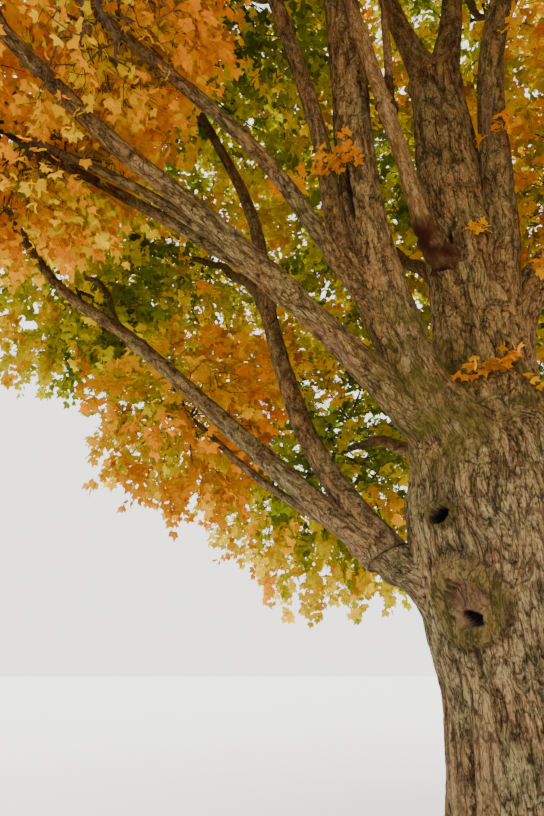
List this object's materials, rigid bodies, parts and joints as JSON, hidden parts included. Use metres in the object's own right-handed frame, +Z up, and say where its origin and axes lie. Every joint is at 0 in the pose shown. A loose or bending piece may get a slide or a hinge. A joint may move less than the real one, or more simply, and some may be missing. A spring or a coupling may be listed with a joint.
{
  "type": "autumn maple tree",
  "caption": "Old open-grown broadleaf tree in autumn leaf: a stout knotted trunk that divides low into long spreading boughs under a full rounded crown, and a dead limb.",
  "frame": {"origin": "middle of the flat cut under the trunk, at ground level", "axes": "+Z up the trunk; +Y away from the side that the picture shows, +X to the right of it, so the low long bough reaches towards -X"},
  "size_m": [14.4788, 14.0514, 16.5666],
  "materials": {
    "bark": "rough furrowed grey-brown bark",
    "dead_wood": "smooth weathered tan wood without bark",
    "orange_leaves": "matte autumn leaves, mostly orange",
    "gold_leaves": "matte autumn leaves, mostly gold and yellow",
    "green_leaves": "matte leaves still green and olive"
  },
  "bodies": {
    "root": {"trunk": "bark", "left_leader": "bark", "long_left_bough": "bark", "low_left_bough": "bark", "right_leader": "bark", "right_bough": "bark", "centre_left_leader": "bark", "centre_right_leader": "bark", "low_back_left_bough": "bark", "low_back_right_bough": "bark", "low_right_bough": "bark", "back_bough": "bark", "back_right_bough": "bark", "left_leader_fork": "bark", "slanting_bough": "bark", "front_bough": "bark", "long_left_middle_branch": "bark", "long_left_lower_branch": "bark", "upper_left_branch": "bark", "crossing_bough": "bark", "low_left_under_branch": "bark", "low_left_outer_branch": "bark", "back_left_branch": "bark", "upper_back_left_branch": "bark", "upper_back_right_branch": "bark", "upper_front_branch": "bark", "front_right_branch": "bark", "upper_right_branch": "bark", "low_front_branch": "bark", "low_front_right_branch": "bark", "dead_limb": "dead_wood", "foliage_left_leader": "gold_leaves", "foliage_long_left_bough": "orange_leaves", "foliage_low_left_bough": "orange_leaves", "foliage_right_leader": "gold_leaves", "foliage_right_bough": "orange_leaves", "foliage_centre_left_leader": "gold_leaves", "foliage_centre_right_leader": "gold_leaves", "foliage_low_back_left_bough": "orange_leaves", "foliage_low_back_right_bough": "orange_leaves", "foliage_low_right_bough": "orange_leaves", "foliage_back_bough": "gold_leaves", "foliage_back_right_bough": "gold_leaves", "foliage_left_leader_fork": "gold_leaves", "foliage_slanting_bough": "green_leaves", "foliage_front_bough": "gold_leaves", "foliage_long_left_middle_branch": "gold_leaves", "foliage_long_left_lower_branch": "orange_leaves", "foliage_upper_left_branch": "gold_leaves", "foliage_crossing_bough": "green_leaves", "foliage_low_left_under_branch": "gold_leaves", "foliage_low_left_outer_branch": "orange_leaves", "foliage_back_left_branch": "gold_leaves", "foliage_upper_back_left_branch": "gold_leaves", "foliage_upper_back_right_branch": "gold_leaves", "foliage_upper_front_branch": "gold_leaves", "foliage_front_right_branch": "gold_leaves", "foliage_upper_right_branch": "gold_leaves", "foliage_low_front_branch": "orange_leaves", "foliage_low_front_right_branch": "orange_leaves"}
  },
  "joints": []
}
